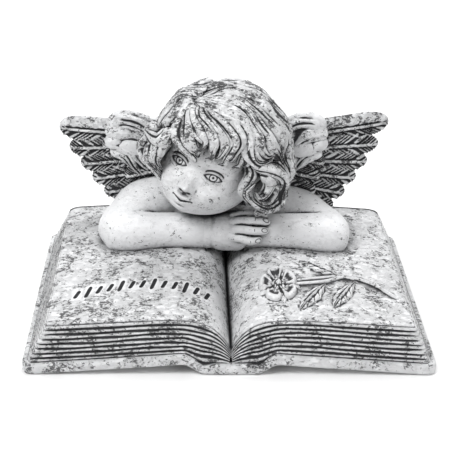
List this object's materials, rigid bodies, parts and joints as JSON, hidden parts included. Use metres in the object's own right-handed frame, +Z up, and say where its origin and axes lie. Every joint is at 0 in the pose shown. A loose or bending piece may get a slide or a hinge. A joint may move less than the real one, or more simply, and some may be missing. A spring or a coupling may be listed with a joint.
{
  "type": "memorial angel figurine",
  "caption": "Cast winged child resting its head on folded arms on an open book, with a flower and sprig in relief on the right-hand page.",
  "frame": {"origin": "middle of the underside, under the book's spine, at the height of the surface it stands on", "axes": "+X to the right-hand page as seen by a viewer facing the child, +Y to the back, +Z up"},
  "size_m": [0.25, 0.165, 0.1421],
  "materials": {
    "cast_stone": "pale silver-white, softly glossy, with a dark wash in the recesses and fine dark speckle"
  },
  "bodies": {
    "root": {"memorial_angel": "cast_stone"}
  },
  "joints": []
}
